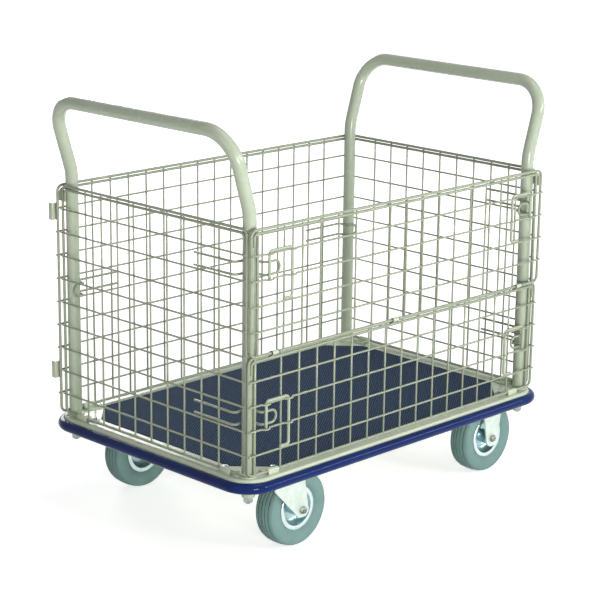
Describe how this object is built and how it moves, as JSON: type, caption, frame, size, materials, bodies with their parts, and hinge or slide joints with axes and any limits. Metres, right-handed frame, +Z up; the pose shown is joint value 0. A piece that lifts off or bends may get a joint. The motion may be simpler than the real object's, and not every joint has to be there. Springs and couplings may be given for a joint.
{
  "type": "mesh sided platform trolley",
  "caption": "Platform trolley with a mat topped steel deck, bumper, push handle at each end, welded mesh sides, a folding latched gate, and swivel and fixed casters.",
  "frame": {"origin": "on the floor under the middle of the deck", "axes": "+X along the long side away from the swivel casters, +Y from the folding gate to the back panel, +Z up"},
  "size_m": [0.9586, 0.624, 0.8826],
  "materials": {
    "cream_paint": "semi gloss",
    "navy_mat": "fine diagonal rib",
    "blue_bumper": "gloss",
    "zinc": "bright zinc plate",
    "grey_tyre": "matt rubber",
    "grey_plug": "matt"
  },
  "bodies": {
    "frame": {"axle_fixed_back": "zinc", "axle_fixed_gate": "zinc", "back_plates": "cream_paint", "bumper": "blue_bumper", "caster_bolts": "zinc", "deck": "cream_paint", "deck_mat": "navy_mat", "deck_stiffeners": "cream_paint", "fixed_fork_back": "zinc", "fixed_fork_gate": "zinc", "handle_fixed_end": "cream_paint", "handle_swivel_end": "cream_paint", "hooks_back": "cream_paint", "hooks_lower": "cream_paint", "hooks_upper": "cream_paint", "panel_back": "cream_paint", "panel_fixed_end": "cream_paint", "panel_swivel_end": "cream_paint", "post_collars": "cream_paint", "post_plugs": "grey_plug", "post_sockets": "cream_paint", "saddle_bolts": "zinc", "saddles_fixed": "cream_paint", "saddles_gate": "cream_paint", "swivel_pin_back": "zinc", "swivel_pin_gate": "zinc", "swivel_plate_back": "zinc", "swivel_plate_gate": "zinc"},
    "gate_lower": {"gate_lower": "cream_paint", "hinge_clips": "cream_paint"},
    "gate_upper": {"gate_upper": "cream_paint"},
    "latch_lower_swivel_end": {"latch_lower_swivel_end": "cream_paint"},
    "latch_lower_fixed_end": {"latch_lower_fixed_end": "cream_paint"},
    "latch_upper_swivel_end": {"latch_upper_swivel_end": "cream_paint"},
    "latch_upper_fixed_end": {"latch_upper_fixed_end": "cream_paint"},
    "swivel_gate": {"swivel_fork_gate": "zinc", "swivel_balls_gate": "zinc", "axle_swivel_gate": "zinc"},
    "wheel_swivel_gate": {"tyre_swivel_gate": "grey_tyre", "rim_swivel_gate": "zinc", "bearings_swivel_gate": "zinc"},
    "wheel_fixed_gate": {"tyre_fixed_gate": "grey_tyre", "rim_fixed_gate": "zinc", "bearings_fixed_gate": "zinc"},
    "swivel_back": {"swivel_fork_back": "zinc", "swivel_balls_back": "zinc", "axle_swivel_back": "zinc"},
    "wheel_swivel_back": {"tyre_swivel_back": "grey_tyre", "rim_swivel_back": "zinc", "bearings_swivel_back": "zinc"},
    "wheel_fixed_back": {"tyre_fixed_back": "grey_tyre", "rim_fixed_back": "zinc", "bearings_fixed_back": "zinc"}
  },
  "joints": [
    {"name": "gate_lower_fold", "type": "hinge", "parent": "frame", "child": "gate_lower", "pos_m": [0, -0.2829, 0.194], "axis": [1, 0, 0], "range_deg": [0, 90]},
    {"name": "gate_upper_fold", "type": "hinge", "parent": "gate_lower", "child": "gate_upper", "pos_m": [0, -0.2889, 0.436], "axis": [1, 0, 0], "range_deg": [0, 160]},
    {"name": "latch_lower_swivel_end_lift", "type": "slide", "parent": "gate_lower", "child": "latch_lower_swivel_end", "axis": [0, 0, 1], "range_m": [0, 0.039]},
    {"name": "latch_lower_fixed_end_lift", "type": "slide", "parent": "gate_lower", "child": "latch_lower_fixed_end", "axis": [0, 0, 1], "range_m": [0, 0.039]},
    {"name": "latch_upper_swivel_end_lift", "type": "slide", "parent": "gate_upper", "child": "latch_upper_swivel_end", "axis": [0, 0, 1], "range_m": [0, 0.039]},
    {"name": "latch_upper_fixed_end_lift", "type": "slide", "parent": "gate_upper", "child": "latch_upper_fixed_end", "axis": [0, 0, 1], "range_m": [0, 0.039]},
    {"name": "swivel_gate_turn", "type": "hinge", "parent": "frame", "child": "swivel_gate", "pos_m": [-0.305, -0.235, 0.17], "axis": [0, 0, 1], "continuous": true},
    {"name": "wheel_swivel_gate_spin", "type": "hinge", "parent": "swivel_gate", "child": "wheel_swivel_gate", "pos_m": [-0.27, -0.235, 0.08], "axis": [0, 1, 0], "continuous": true},
    {"name": "wheel_fixed_gate_spin", "type": "hinge", "parent": "frame", "child": "wheel_fixed_gate", "pos_m": [0.352, -0.215, 0.08], "axis": [0, 1, 0], "continuous": true},
    {"name": "swivel_back_turn", "type": "hinge", "parent": "frame", "child": "swivel_back", "pos_m": [-0.305, 0.235, 0.17], "axis": [0, 0, 1], "continuous": true},
    {"name": "wheel_swivel_back_spin", "type": "hinge", "parent": "swivel_back", "child": "wheel_swivel_back", "pos_m": [-0.27, 0.235, 0.08], "axis": [0, 1, 0], "continuous": true},
    {"name": "wheel_fixed_back_spin", "type": "hinge", "parent": "frame", "child": "wheel_fixed_back", "pos_m": [0.352, 0.215, 0.08], "axis": [0, 1, 0], "continuous": true}
  ]
}
